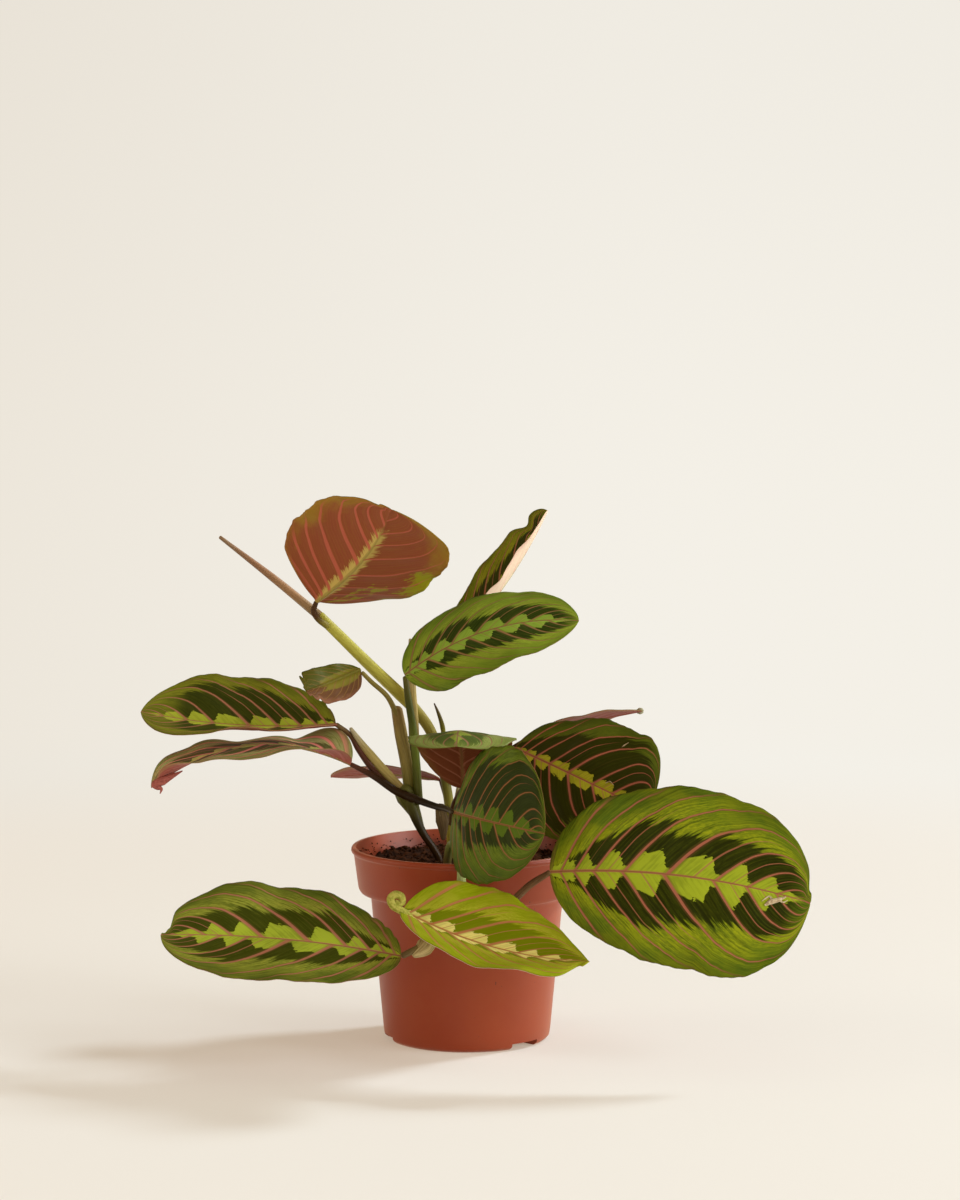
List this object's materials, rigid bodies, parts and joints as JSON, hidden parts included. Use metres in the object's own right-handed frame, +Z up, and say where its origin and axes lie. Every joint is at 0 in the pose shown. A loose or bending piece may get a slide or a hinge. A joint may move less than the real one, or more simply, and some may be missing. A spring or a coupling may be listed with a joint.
{
  "type": "potted prayer plant",
  "caption": "Small leafy maranta in a tapered plastic nursery pot: patterned oval leaves on thin jointed stems, one stem trailing over the rim.",
  "frame": {"origin": "centre of the pot's underside", "axes": "+Z up the pot's axis, -Y towards the front, where the trailing stem hangs over the rim"},
  "size_m": [0.3386, 0.191, 0.285],
  "materials": {
    "pot_plastic": "thin red-brown plastic with a soft sheen",
    "soil": "dark crumbly potting mix of peat and bark",
    "stem": "green and brown stalks with dry papery sheaths",
    "rolled_leaf": "smooth brown-pink rolled leaf",
    "leaf": "satin green blade with darker blotches, a lime band and red veins",
    "young_leaf": "satin yellow-green blade with pale band and orange-red veins"
  },
  "bodies": {
    "root": {"pot": "pot_plastic", "soil": "soil", "stem_left": "stem", "stem_tall": "stem", "stem_trailing": "stem", "leaf_rolled": "rolled_leaf", "leaf_top": "leaf", "leaf_upper_right": "leaf", "leaf_pale": "leaf", "leaf_left": "leaf", "leaf_torn": "leaf", "leaf_left_low": "leaf", "leaf_back": "leaf", "leaf_arching": "leaf", "leaf_front": "leaf", "leaf_right": "leaf", "leaf_big": "leaf", "leaf_low_left": "leaf", "leaf_young": "young_leaf", "leaf_behind": "leaf"}
  },
  "joints": []
}
